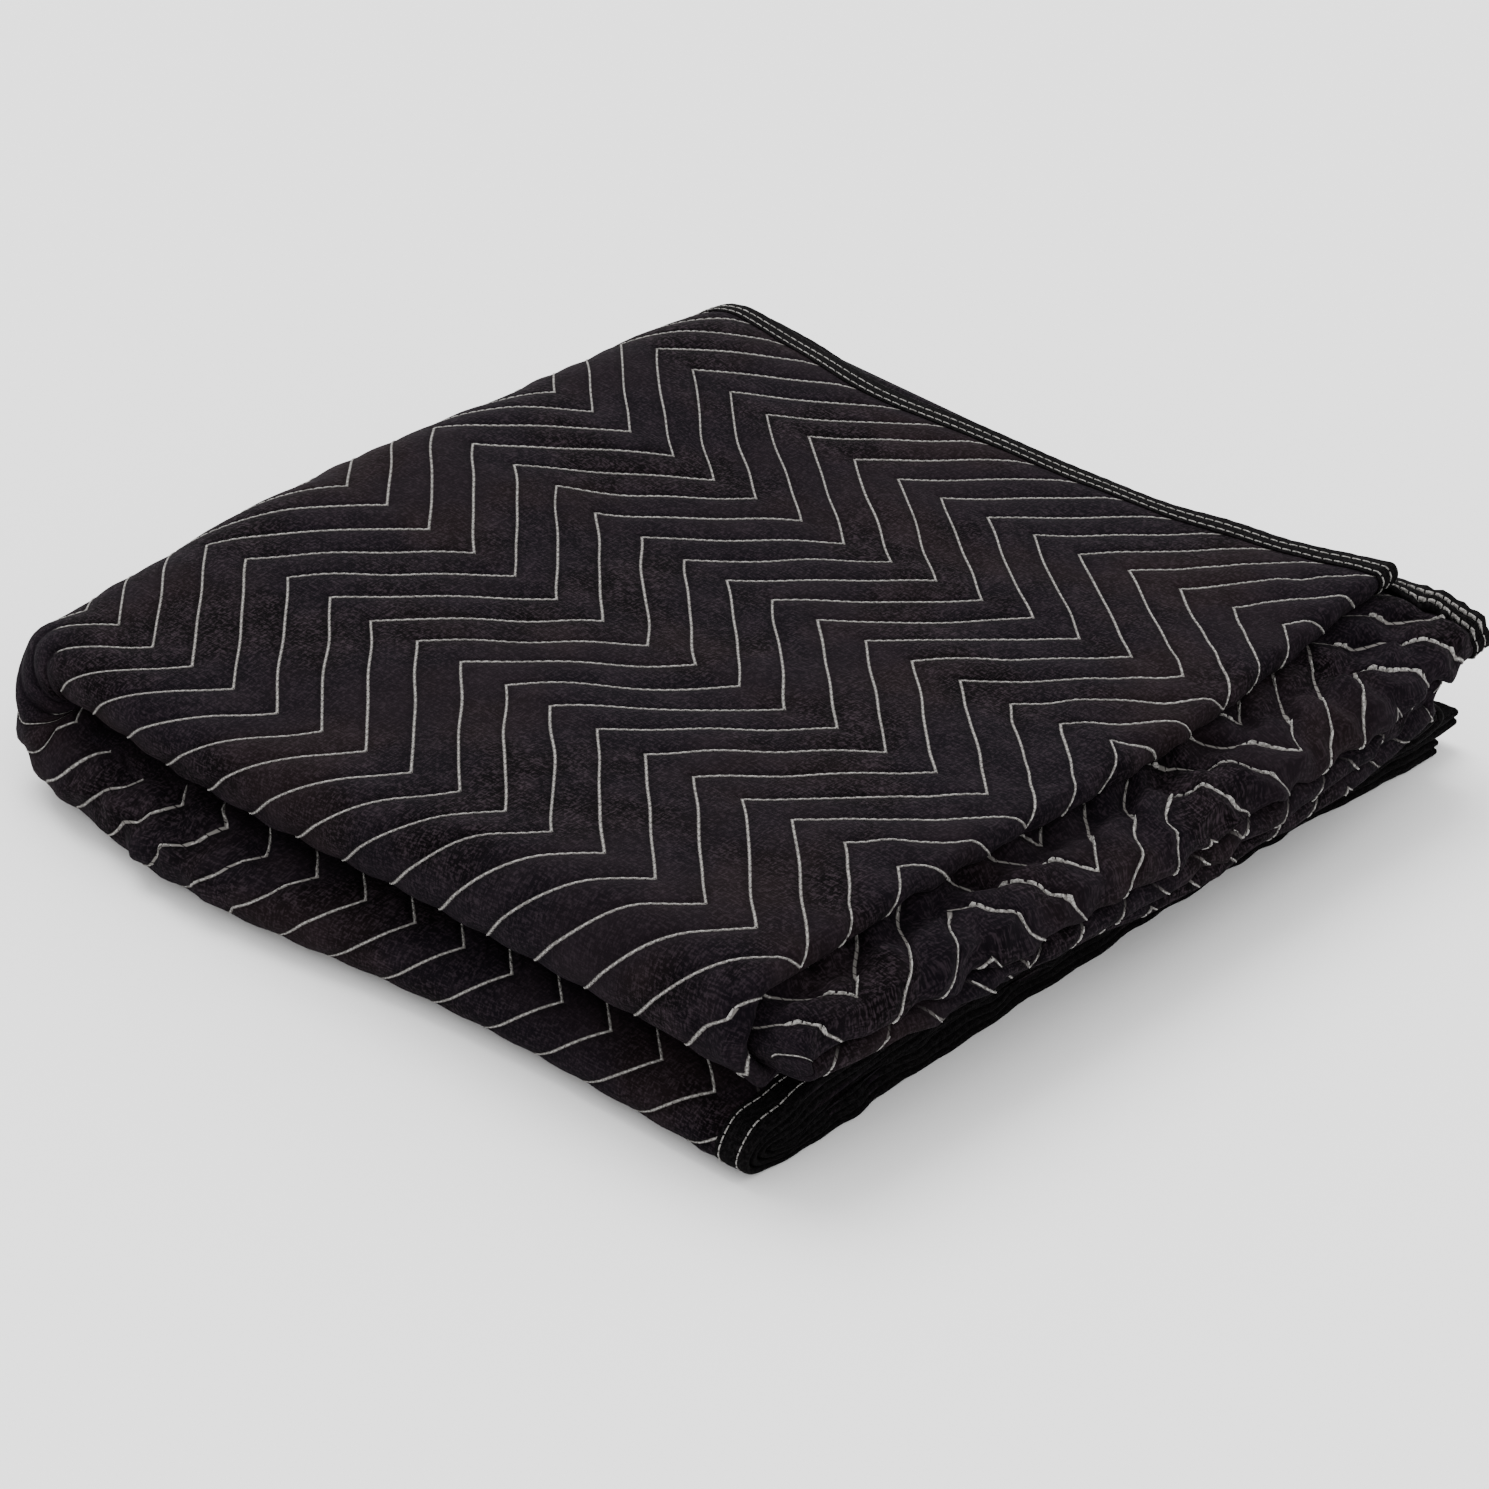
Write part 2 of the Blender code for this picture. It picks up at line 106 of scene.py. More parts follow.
def planFolds(s):
    # each half turn has its centre line and the length of cloth in it, pi times its outer radius
    plan = {"endCentre": -s["gap"] / 2}
    plan["endLength"] = math.pi * (s["thick"] - plan["endCentre"])
    plan["sideCentre"] = -s["thick"] - 1.5 * s["gap"]
    plan["sideLength"] = math.pi * (s["thick"] - plan["sideCentre"])
    plan["sideStart"] = (s["width"] - plan["sideLength"]) / 2
    plan["fourLow"] = 2 * plan["sideCentre"] - s["thick"]
    plan["frontCentre"] = s["thick"] + s["gap"] / 2
    plan["frontLength"] = math.pi * (plan["frontCentre"] - plan["fourLow"])
    plan["frontStart"] = s["width"] / 4 - plan["frontLength"] / 2
    plan["backCentre"] = 2 * plan["frontCentre"] - plan["fourLow"] + s["gap"] / 2
    plan["backRadius"] = plan["backCentre"] - plan["fourLow"]
    plan["backLength"] = math.pi * plan["backRadius"]
    plan["backStart"] = s["length"] / 4 - plan["backLength"] / 2
    plan["long"] = plan["backStart"] + plan["backRadius"]
    plan["wide"] = plan["frontStart"] + plan["frontCentre"] - plan["fourLow"]
    plan["high"] = 2 * plan["backRadius"] - s["gap"]
    plan["topLayerLow"] = plan["high"] - 2 * s["thick"] - s["gap"]
    return plan


fold = planFolds(sheet)
quarter = sheet["width"] / 4

pack = {
    "swells": [
        # along, across, spread along, spread across, lift
        (0.03, 0.42, 0.12, 0.12, 0.137),
        (0.05, 0.22, 0.08, 0.10, 0.096),
        (0.15, 0.02, 0.11, 0.05, -0.144),
        (0.38, 0.02, 0.08, 0.06, 0.020),
        (0.43, 0.13, 0.06, 0.08, 0.043),
        (0.22, 0.27, 0.11, 0.13, -0.038),
        (0.42, 0.42, 0.10, 0.10, 0.028),
        (0.02, 0.05, 0.08, 0.08, -0.091),
        (0.45, 0.48, 0.07, 0.06, 0.100),
    ],
    "creviceAtBackFold": 0.080, "creviceAtLooseEnds": -0.050,
    "ledgeGap": 0.055, "ledgeGapRun": 0.030, "ledgeDrop": 0.14, "ledgeLength": 0.045,
    "sag": 0.0085, "sagFrom": (0.020, 0.070), "sagWidth": 0.110, "tipSag": 0.0035, "tipSpread": 0.090,
    # share is of the height, past is past the loose ends, width is across
    "notch": {
        "depth": 0.016, "share": 0.60, "shareSpread": 0.12,
        "past": 0.020, "spread": 0.060, "width": 0.120,
    },
    "frontBulges": [(0.15, 0.10, 0.018), (0.02, 0.05, 0.004)],  # along, spread, reach
    "sideHollows": [(0.00, 0.05, 0.006), (0.12, 0.07, 0.017), (0.27, 0.12, 0.016)],
    "cornerSpread": 0.060, "cornerPull": (0.010, 0.007),
    "lowCornerSpread": 0.070, "lowCornerPush": (0.008, 0.010),
    # the shares of the height where the lower half ends, and how far in the front and side move
    "lowerShare": (0.30, 0.65), "frontReach": 0.22, "sideReach": 0.25,
    # the pack's middle, which lies off the middle between its folds
    "middle": (fold["long"] / 2 + 0.0170, fold["wide"] / 2 + 0.0024),
}


def smoothStep(low, high, value):
    # 3t^2 - 2t^3, where t runs from 0 at low to 1 at high
    t = np.clip((value - low) / (high - low), 0.0, 1.0)
    return t * t * (3.0 - 2.0 * t)


def hill(value, spread):
    # exp(-(value / spread)^2)
    return np.exp(-((value / spread) ** 2))


def reachAt(pathY, column):
    # the reach table read at a place across the width
    return np.interp(pathY / quarter, reachTable[:, 0], reachTable[:, column])


def ridgeStart(pathY):
    # where the end fold starts, along the sheet
    return sheet["length"] / 2 - fold["endLength"] / 2 + reachAt(pathY, 1)


def looseEnd(pathY):
    # where the sheet starts
    return -reachAt(pathY, 2)


def farEnd(pathY):
    # where the sheet ends, as far past the ridge's middle as it starts before it
    return 2 * ridgeStart(pathY) + fold["endLength"] - looseEnd(pathY)


def halfTurn(along, up, start, length, centre, side):
    # before start a point stays; then it goes round centre, at the radius of its own height.
    # side is 1 for a fold that turns up and over, and -1 for one that turns down and under
    radius = side * (centre - up)
    angle = np.clip((along - start) / length, 0.0, 1.0) * math.pi
    past = np.maximum(along - start - length, 0.0)
    turned = np.minimum(along, start) + radius * np.sin(angle) - past
    return turned, centre - side * radius * np.cos(angle)


def settle(x, y, z, upper):
    # height times 1 + the sum of the swells, plus a tilt of the crevice;
    # the sides move by sums of hills
    p = pack
    share = np.clip(z / fold["high"], 0.0, 1.0)
    below = 1.0 - smoothStep(fold["topLayerLow"] - sheet["gap"], fold["topLayerLow"], z)
    lift = -p["ledgeGap"] * below * smoothStep(fold["long"] - p["ledgeGapRun"], fold["long"], x)
    lift = lift - p["ledgeDrop"] * smoothStep(fold["long"], fold["long"] + p["ledgeLength"], x)
    for along, across, spreadAlong, spreadAcross, rise in p["swells"]:
        lift = lift + rise * hill(x - along, spreadAlong) * hill(y - across, spreadAcross)
    back, loose = p["creviceAtBackFold"], p["creviceAtLooseEnds"]
    tilt = back + (loose - back) * smoothStep(0.0, fold["long"], x)
    high = z * (1.0 + lift) + tilt * 4.0 * share * (1.0 - share) * fold["high"]
    # the lower half sags along the front, in proportion to height, which opens the crevice
    tip = p["tipSag"] * hill(x - fold["long"], p["tipSpread"])
    sag = (p["sag"] + tip) * smoothStep(*p["sagFrom"], x)
    sag = sag * (1.0 - smoothStep(0.0, p["sagWidth"], y)) * np.minimum(2.0 * share, 1.0)
    high = np.where(upper, high, high - sag)
    lower = 1.0 - smoothStep(*p["lowerShare"], share)
    nearFront = 1.0 - smoothStep(0.0, p["frontReach"], y)
    nearSide = smoothStep(fold["wide"] - p["sideReach"], fold["wide"], y)
    bulge = sum(out * hill(x - along, spread) for along, spread, out in p["frontBulges"])
    hollow = sum(deep * hill(x - along, spread) for along, spread, deep in p["sideHollows"])
    n = p["notch"]
    notch = n["depth"] * hill(share - n["share"], n["shareSpread"])
    notch = notch * hill(x - fold["long"] - n["past"], n["spread"])
    notch = notch * smoothStep(fold["wide"] - n["width"], fold["wide"], y)
    corner = hill(x, p["cornerSpread"]) * hill(y, p["cornerSpread"])
    lowCorner = lower * hill(x - fold["long"], p["lowCornerSpread"])
    lowCorner = lowCorner * hill(y - fold["wide"], p["lowCornerSpread"])
    movedX = x + p["cornerPull"][0] * corner + p["lowCornerPush"][0] * lowCorner
    movedY = y + p["cornerPull"][1] * corner + p["lowCornerPush"][1] * lowCorner
    return movedX, movedY - bulge * lower * nearFront - hollow * nearSide - notch, high


# where the pack is creased; the row order sets the seeds
crumples = [
    # along, across, high, spread, spread of height, depth, wave length
    (0.230, 0.240, 0.080, 0.400, 0.060, 0.0008, 0.060),
    (0.034, 0.004, 0.040, 0.026, 0.016, 0.0017, 0.026),
    (0.060, 0.000, 0.018, 0.060, 0.016, 0.0024, 0.030),
    (0.140, -0.010, 0.020, 0.060, 0.016, 0.0022, 0.026),
    (0.445, 0.000, 0.048, 0.036, 0.018, 0.0028, 0.034),
    (0.440, 0.000, 0.050, 0.026, 0.018, 0.0005, 0.020),
    (0.470, 0.120, 0.060, 0.075, 0.030, 0.0022, 0.024),
    (0.470, 0.280, 0.060, 0.085, 0.030, 0.0022, 0.026),
    (0.465, 0.420, 0.060, 0.075, 0.030, 0.0022, 0.024),
    (0.475, 0.060, 0.012, 0.070, 0.020, 0.0020, 0.030),
    (0.475, 0.200, 0.012, 0.090, 0.020, 0.0018, 0.034),
    (0.475, 0.360, 0.012, 0.090, 0.020, 0.0018, 0.034),
]
# the ledge's front nose and its side corner
tucks = [
    # place along, across and high, its spreads, and how far it is moved
    ((0.475, 0.010, 0.052), (0.026, 0.045, 0.020), (-0.006, 0.000, 0.007)),
    ((0.475, 0.520, 0.062), (0.045, 0.045, 0.016), (-0.004, -0.002, 0.003)),
]
waves = {"count": 7, "often": (0.75, 1.6), "evening": 2.6}  # often is how many fit in a wave length
steadyHeight = 0.020  # creases rise and fall less below this


def wander(x, y, z, wave, seed):
    # sine waves in seeded directions, summed and evened out to about -1 to 1
    rng = np.random.default_rng(seed)
    total = np.zeros_like(x)
    for often in rng.uniform(*waves["often"], waves["count"]):
        way = rng.normal(size=3)
        way = way / np.linalg.norm(way) * (2.0 * math.pi * often / wave)
        phase = rng.uniform(0.0, 2.0 * math.pi)
        total = total + np.sin(way[0] * x + way[1] * y + way[2] * z + phase)
    return total / waves["evening"]


def crumple(x, y, z):
    # near each place the cloth moves by depth times three wandering fields, less so at the floor
    steady = smoothStep(0.0, steadyHeight, z)
    dx, dy, dz = np.zeros_like(x), np.zeros_like(x), np.zeros_like(x)
    for number, (along, across, tall, spread, tallSpread, depth, wave) in enumerate(crumples):
        near = depth * hill(x - along, spread) * hill(y - across, spread) * hill(z - tall, tallSpread)
        dx = dx + near * wander(x, y, z, wave, 3 * number)
        dy = dy + near * wander(x, y, z, wave, 3 * number + 1)
        dz = dz + near * wander(x, y, z, wave, 3 * number + 2) * steady
    for (along, across, tall), (spread, acrossSpread, tallSpread), move in tucks:
        near = hill(x - along, spread) * hill(y - across, acrossSpread)
        near = near * hill(z - tall, tallSpread)
        dx, dy, dz = dx + move[0] * near, dy + move[1] * near, dz + move[2] * near
    return x + dx, y + dy, z + dz


def carry(pathX, pathY, up):
    # end fold under, side fold under, front fold over, back fold over, then the settling
    f = fold
    x, z = halfTurn(pathX, up, ridgeStart(pathY), f["endLength"], f["endCentre"], -1.0)
    y, z = halfTurn(pathY, z, f["sideStart"], f["sideLength"], f["sideCentre"], -1.0)
    y, z = halfTurn(y, z, f["frontStart"], f["frontLength"], f["frontCentre"], 1.0)
    upper = x > f["backStart"] + f["backLength"] / 2
    x, z = halfTurn(x, z, f["backStart"], f["backLength"], f["backCentre"], 1.0)
    x, y, z = settle(f["long"] - x, f["wide"] - y, z - f["fourLow"], upper)
    x, y, z = crumple(x, y, z)
    return np.stack([x - pack["middle"][0], y - pack["middle"][1], np.maximum(z, 0.0)], axis=-1)


# the quilting
quilting = {
    "pitch": 0.0261, "rise": 0.0722, "sway": 0.0682, "firstRow": 0.048, "phase": 0.001,
    "puff": 0.0011, "puffPower": 0.7, "sink": 0.0004, "hiddenPuff": 0.0002, "foldBoost": 0.25,
    # where the top cloth's ridge lies on the ledge
    "groove": 0.0021, "grooveAt": -0.002, "grooveSpread": 0.0065, "grooveFade": 0.020,
}
# where the cloth's outer face shows: a pair is where a change starts and ends past its fold line,
# and a single value is how long the change is
showing = {
    "front": (-0.004, 0.008), "frontEnd": 0.6,  # the share of the end fold that it takes in
    "top": 0.012, "topBack": (0.004, 0.030), "topCrest": 0.006,
    "ridge": 0.7, "ridgeSpread": 0.0045,
    "ledge": 0.010, "ledgeCrest": (-0.004, 0.002), "ledgeUnder": 0.006, "ledgeFade": 0.008,
    # bunched cloth: place and spread along, place and spread across, from the nearest folds
    "bunched": (0.024, 0.054, -0.004, 0.040), "nose": (0.016, 0.026, 0.017, 0.016),
    "bunchedEdge": (0.45, 0.55),
}


def seamCount(pathX, pathY):
    # seams passed so far: (place - ridge middle + triangle wave of the zigzag) / pitch
    q = quilting
    rows = (3 * quarter + q["firstRow"] - pathY) / q["rise"]
    sway = q["sway"] * np.abs(rows - 2.0 * np.floor(rows / 2.0 + 0.5))
    return (pathX - ridgeStart(pathY) - fold["endLength"] / 2 - q["phase"] + sway) / q["pitch"]


def seamPlace(number, pathY):
    # the other way round: where a seam lies in a row
    return number * quilting["pitch"] - seamCount(0.0, pathY) * quilting["pitch"]


def crestAt(pathY):
    # the middle of the end fold, where the top cloth's ridge reaches farthest
    return ridgeStart(pathY) + fold["endLength"] / 2


def frontFoldShare(pathX, pathY):
    # 1 on the outer front fold, as far as the end fold
    half = fold["frontLength"] / 2
    first, last = showing["front"]
    across = 1.0 - smoothStep(half + first, half + last, np.abs(pathY - 3 * quarter))
    return across * (pathX < ridgeStart(pathY) + fold["endLength"] * showing["frontEnd"])


def exposure(pathX, pathY):
    # 1 where the cloth's outer face shows: top and big fold, front folds, ridges and the ledge
    s = showing
    crest = crestAt(pathY)
    half = fold["frontLength"] / 2
    front = frontFoldShare(pathX, pathY)
    topFront, ledgeFront = 3 * quarter + half, quarter + half
    top = smoothStep(topFront - s["top"], topFront, pathY)
    first, last = s["topBack"]
    top = top * smoothStep(fold["backStart"] + first, fold["backStart"] + last, pathX)
    top = top * (1.0 - smoothStep(crest, crest + s["topCrest"], pathX))
    ridge = s["ridge"] * hill(pathX - crest, s["ridgeSpread"])
    hiddenFrom = 2 * crest - (sheet["length"] / 2 - fold["endLength"] / 2 - s["ledgeUnder"])
    ledge = 1.0 - smoothStep(ledgeFront - s["ledge"], ledgeFront, pathY)
    first, last = s["ledgeCrest"]
    ledge = ledge * smoothStep(crest + first, crest + last, pathX)
    ledge = ledge * (1.0 - smoothStep(hiddenFrom - s["ledgeFade"], hiddenFrom, pathX))
    return np.maximum(np.maximum(front, top), np.maximum(ridge, ledge))


def spot(alongX, alongY, settings):
    # a hill in both directions, from its (place, spread) along and across
    placeX, spreadX, placeY, spreadY = settings
    return hill(alongX - placeX, spreadX) * hill(alongY - placeY, spreadY)


def seamShows(pathX, pathY):
    # the exposure, but 0 where bunched cloth hides its seams:
    # where the front folds meet the back fold, and on the ledge's nose
    bend = fold["backStart"] + fold["backLength"] / 2
    bunched = spot(pathX - bend, pathY - 3 * quarter, showing["bunched"])
    nose = spot(pathX - crestAt(pathY), pathY - quarter, showing["nose"])
    hidden = smoothStep(*showing["bunchedEdge"], np.maximum(bunched, nose))
    return exposure(pathX, pathY) * (1.0 - hidden)


def groove(pathX, pathY):
    # the ledge is pressed in under the top cloth's ridge:
    # depth times a hill across the line where the ridge lies
    q = quilting
    under = 2 * ridgeStart(pathY) + fold["endLength"] - sheet["length"] / 2
    front = quarter + fold["frontLength"] / 2
    ledge = 1.0 - smoothStep(front - q["grooveFade"], front, pathY)
    return q["groove"] * hill(pathX - under - q["grooveAt"], q["grooveSpread"]) * ledge


def relief(pathX, pathY):
    # between seams ((1 - cos(2 pi s)) / 2) to a power, times a puff that is higher where the
    # cloth shows, less the sink of the seams and the groove
    q = quilting
    wave = (0.5 - 0.5 * np.cos(2.0 * math.pi * seamCount(pathX, pathY))) ** q["puffPower"]
    shown = exposure(pathX, pathY)
    boost = 1.0 + q["foldBoost"] * frontFoldShare(pathX, pathY)
    puff = wave * (q["hiddenPuff"] + q["puff"] * shown * boost)
    return puff - q["sink"] * shown * boost - groove(pathX, pathY)


def halfThickness(pathX, pathY):
    # thin under the binding, then a straight taper to the full thickness
    s = sheet
    side = np.minimum(pathY + s["secondSideReach"], s["width"] - pathY)
    end = np.minimum(pathX - looseEnd(pathY), farEnd(pathY) - pathX)
    share = np.clip((np.minimum(side, end) - s["bindingWidth"] - s["clearance"]) / s["taper"], 0.0, 1.0)
    return (s["rimThick"] + (s["thick"] - s["rimThick"]) * share) / 2


# the cloth's grid
def evenly(start, end, step):
    # places from start up to, but not at, end
    count = max(1, round(abs(end - start) / step))
    return start + (end - start) * np.arange(count) / count


def zigzagged(start, end, parts):
    # start, then the zigzag's corners and even parts between them, up to but not at end
    q = quilting
    step = q["rise"] / parts
    corner = 3 * quarter + q["firstRow"]
    # a place nearer than 0.4 of a step to either end is left out
    first = math.ceil((start - corner) / step + 0.4)
    last = math.floor((end - corner) / step - 0.4)
    return np.concatenate([[start], corner + step * np.arange(first, last + 1)])


clothGrid = {
    # parts of a zigzag row, or a step in metres, in each stretch from the second side to the top
    "rowParts": (20, 0.0038, 5, 0.0045, 5, 0.0032, 20),
    # step along the sheet in each stretch between the folds
    "columnSteps": (
        0.0070, 0.0067, 0.0044, 0.0034, 0.0034, 0.0017,
        0.0034, 0.0300, 0.0120, 0.0600, 0.0100,
    ),
    "innerRowStride": 6, "innerColumnStride": 5, "bendMargin": 0.004,
    # the relief's share grows with the cloth's half thickness above the rim's
    "reliefFrom": 0.001, "reliefFull": 0.004,
}


def rowPlaces(s):
    # places across the sheet, from the second side to the top one
    f = fold
    rim = sheet["bindingWidth"] + 2 * sheet["clearance"]
    low, high = -sheet["secondSideReach"], sheet["width"]
    stops = [
        low + rim + sheet["taper"], f["frontStart"], f["frontStart"] + f["frontLength"],
        f["sideStart"], f["sideStart"] + f["sideLength"],
        3 * quarter - f["frontLength"] / 2, 3 * quarter + f["frontLength"] / 2,
        high - rim - sheet["taper"],
    ]
    parts = [np.array([low, low + rim])]
    for a, b, size in zip(stops, stops[1:], s["rowParts"]):
        parts.append(zigzagged(a, b, size) if size >= 1 else evenly(a, b, size))
    return np.concatenate(parts + [np.array([stops[-1], high - rim, high])])


def columnStops(pathY):
    # the folds and rims along each row, mirrored about the ridge
    ridge, half = ridgeStart(pathY), fold["endLength"] / 2
    first = looseEnd(pathY)
    flat = np.ones_like(ridge)
    ledge = np.minimum(sheet["length"] / 2 - half, ridge - sheet["ledgeLeast"])
    rim = sheet["bindingWidth"] + sheet["taper"] + 2 * sheet["clearance"]
    backEnd = fold["backStart"] + fold["backLength"]
    near = [first, first + rim, fold["backStart"] * flat, backEnd * flat, ledge, ridge]
    return np.stack(near + [2 * (ridge + half) - stop for stop in reversed(near)], axis=1)


def gridOf(s):
    # every point of the flat sheet as (pathX, pathY), one row across for each place in rowPlaces
    rows = rowPlaces(s)
    stops = columnStops(rows)
    spans = stops[len(rows) // 2]
    columns = []
    for number, step in enumerate(s["columnSteps"]):
        shares = evenly(0.0, 1.0, step / (spans[number + 1] - spans[number]))
        columns.append(stops[:, [number]] * (1.0 - shares) + stops[:, [number + 1]] * shares)
    columns.append(stops[:, [-1]])
    pathX = np.concatenate(columns, axis=1)
    return pathX, np.broadcast_to(rows[:, None], pathX.shape).copy()


def meshPiece(name, points, faces, finish, maps=()):
    # points and faces become one mesh object; each map gives a UV pair for every point
    mesh = bpy.data.meshes.new(name)
    mesh.from_pydata(points.tolist(), [], faces)
    mesh.validate()
    corners = np.empty(len(mesh.loops), dtype=np.int64)
    mesh.loops.foreach_get("vertex_index", corners)
    for mapName, pairs in maps:
        layer = mesh.uv_layers.new(name=mapName)
        layer.data.foreach_set("uv", pairs[corners].astype(np.float32).ravel())
    mesh.polygons.foreach_set("use_smooth", np.ones(len(mesh.polygons), dtype=bool))
    mesh.materials.append(finish)
    mesh.update()
    piece = bpy.data.objects.new(name, mesh)
    bpy.context.scene.collection.objects.link(piece)
    return piece


def gridCorners(rows, columns):
    # the numbers of each cell's four points, in a grid that is numbered row by row
    corner = np.arange(rows - 1)[:, None] * columns + np.arange(columns - 1)[None, :]
    return corner, corner + 1, corner + columns + 1, corner + columns


def innerQuads(rows, columns, first):
    # four-cornered faces that look the other way, for the cloth's inner face
    a, b, c, d = gridCorners(rows, columns)
    return first + np.stack([d, c, b, a], axis=-1).reshape(-1, 4)


def seamCut(rows, columns, pathY):
    # cells in two triangles, cut along the diagonal that lies nearer the slope of the seams
    a, b, c, d = gridCorners(rows, columns)
    lean = np.diff(seamPlace(0, pathY[:, 0])) > 0.0
    forward = np.stack([np.stack([a, b, c], axis=-1), np.stack([a, c, d], axis=-1)], axis=2)
    backward = np.stack([np.stack([a, b, d], axis=-1), np.stack([b, c, d], axis=-1)], axis=2)
    return np.where(lean[:, None, None, None], forward, backward).reshape(-1, 3)


def keptPlaces(places, bends, stride, margin):
    # the inner face is coarser: of a row it keeps one place in each stride, the first and
    # last three, and every second place in its bends, given as (middle, length)
    count = len(places)
    bent = np.zeros(count, dtype=bool)
    for middle, length in bends:
        bent |= np.abs(places - middle) < length / 2 + margin
    ends = [1, 2, count - 3, count - 2, count - 1]
    return np.unique(np.concatenate([np.arange(0, count, stride), np.flatnonzero(bent)[::2], ends]))


def rimFace(outer, inner, turned):
    # one face between a stretch of the outer rim and one step of the inner rim
    face = [int(inner[0]), int(inner[1])] + [int(v) for v in outer[::-1]]
    return face[::-1] if turned else face


def makeCloth(s, finish):
    # outer face at thick / 2 + half thickness + relief times a share that falls to the rim,
    # inner face at thick / 2 - half thickness
    pathX, pathY = gridOf(s)
    rows, columns = pathX.shape
    half = halfThickness(pathX, pathY)
    share = smoothStep(0.0, s["reliefFull"], half - sheet["rimThick"] / 2 + s["reliefFrom"])
    outerUp = sheet["thick"] / 2 + half + relief(pathX, pathY) * share
    f = fold
    front = [(middle * quarter, f["frontLength"]) for middle in (1, 3)]
    side = [(2 * quarter, f["sideLength"])]
    rowsKept = keptPlaces(pathY[:, 0], front + side, s["innerRowStride"], s["bendMargin"])
    line = pathX[rows // 2]
    back = f["backStart"] + f["backLength"] / 2
    crest = (line[0] + line[-1]) / 2
    bends = [(back, f["backLength"]), (2 * crest - back, f["backLength"])]
    columnsKept = keptPlaces(line, bends, s["innerColumnStride"], s["bendMargin"])
    few = np.ix_(rowsKept, columnsKept)
    outer = carry(pathX, pathY, outerUp)
    inner = carry(pathX[few], pathY[few], sheet["thick"] / 2 - half[few])
    points = np.concatenate([outer.reshape(-1, 3), inner.reshape(-1, 3)])
    flatX = np.concatenate([pathX.ravel(), pathX[few].ravel()])
    flatY = np.concatenate([pathY.ravel(), pathY[few].ravel()])
    outerNumber = np.arange(rows * columns).reshape(rows, columns)
    innerNumber = rows * columns + np.arange(few[0].size * few[1].size).reshape(few[0].size, -1)
    faces = seamCut(rows, columns, pathY).tolist()
    faces += innerQuads(len(rowsKept), len(columnsKept), rows * columns).tolist()
    for row, turned in ((0, False), (-1, True)):
        for k, (a, b) in enumerate(zip(columnsKept, columnsKept[1:])):
            faces.append(rimFace(outerNumber[row, a:b + 1], innerNumber[row, k:k + 2], turned))
    for column, turned in ((0, True), (-1, False)):
        for k, (a, b) in enumerate(zip(rowsKept, rowsKept[1:])):
            faces.append(rimFace(outerNumber[a:b + 1, column], innerNumber[k:k + 2, column], turned))
    q = quilting
    # the seam count without its zigzag, which the finish adds
    steady = (flatX - crestAt(flatY) - q["phase"]) / q["pitch"]
    rowCount = (3 * quarter + q["firstRow"] - flatY) / q["rise"]
    maps = [
        ("clothMap", np.stack([flatX, flatY], axis=1)),
        ("seamMap", np.stack([steady, rowCount], axis=1)),
        ("shownMap", np.stack([seamShows(flatX, flatY), np.zeros_like(flatX)], axis=1)),
    ]
    return meshPiece("quiltedCloth", points, faces, finish, maps)


# sewing thread
thread = {
    "stitch": 0.0044, "share": 0.96, "radius": 0.00039, "sides": 5,
    "seams": (-36, 8),  # the first seam, and one past the last
    "leastShown": 0.40,
    "along": (-0.50, -0.40, 0.0, 0.40, 0.50),  # where a stitch's rings lie, in shares of its length
    "lift": (-0.0002, 0.0002, 0.0003, 0.0002, -0.0002),  # of the thread's middle, along a stitch
    "width": (0.0, 0.90, 1.0, 0.90, 0.0),
}


def stitchMesh(name, stationX, stationY, surfaceUp, s, finish):
    # each stitch is a spindle: rings of radius times width, square to its own line on the flat sheet
    alongX, alongY = np.gradient(stationX, axis=1), np.gradient(stationY, axis=1)
    size = np.hypot(alongX, alongY)
    acrossX, acrossY = -alongY / size, alongX / size
    angle = 2.0 * math.pi * np.arange(s["sides"]) / s["sides"]
    radius = s["radius"] * np.array(s["width"])
    middleUp = surfaceUp + np.array(s["lift"])
    ringX = stationX[..., None] + (acrossX * radius)[..., None] * np.cos(angle)
    ringY = stationY[..., None] + (acrossY * radius)[..., None] * np.cos(angle)
    ringUp = middleUp[..., None] + radius[:, None] * np.sin(angle)
    rings = carry(ringX[:, 1:-1], ringY[:, 1:-1], ringUp[:, 1:-1])
    tips = carry(stationX[:, [0, -1]], stationY[:, [0, -1]], middleUp[:, [0, -1]])
    count, ringCount, sides = rings.shape[:3]
    each = ringCount * sides + 2
    points = np.concatenate([rings.reshape(count, -1, 3), tips], axis=1).reshape(-1, 3)
    side = np.arange(sides)
    beside = (side + 1) % sides
    quads = []
    for ring in range(ringCount - 1):
        low, high = ring * sides, (ring + 1) * sides
        quads.append(np.stack([low + side, low + beside, high + beside, high + side], axis=1))
    quads = np.concatenate(quads)
    last = (ringCount - 1) * sides
    fans = np.concatenate([
        np.stack([np.full(sides, each - 2), beside, side], axis=1),
        np.stack([np.full(sides, each - 1), last + side, last + beside], axis=1),
    ])
    offset = (np.arange(count) * each)[:, None, None]
    faces = (quads[None] + offset).reshape(-1, 4).tolist()
    faces += (fans[None] + offset).reshape(-1, 3).tolist()
    return meshPiece(name, points, faces, finish)


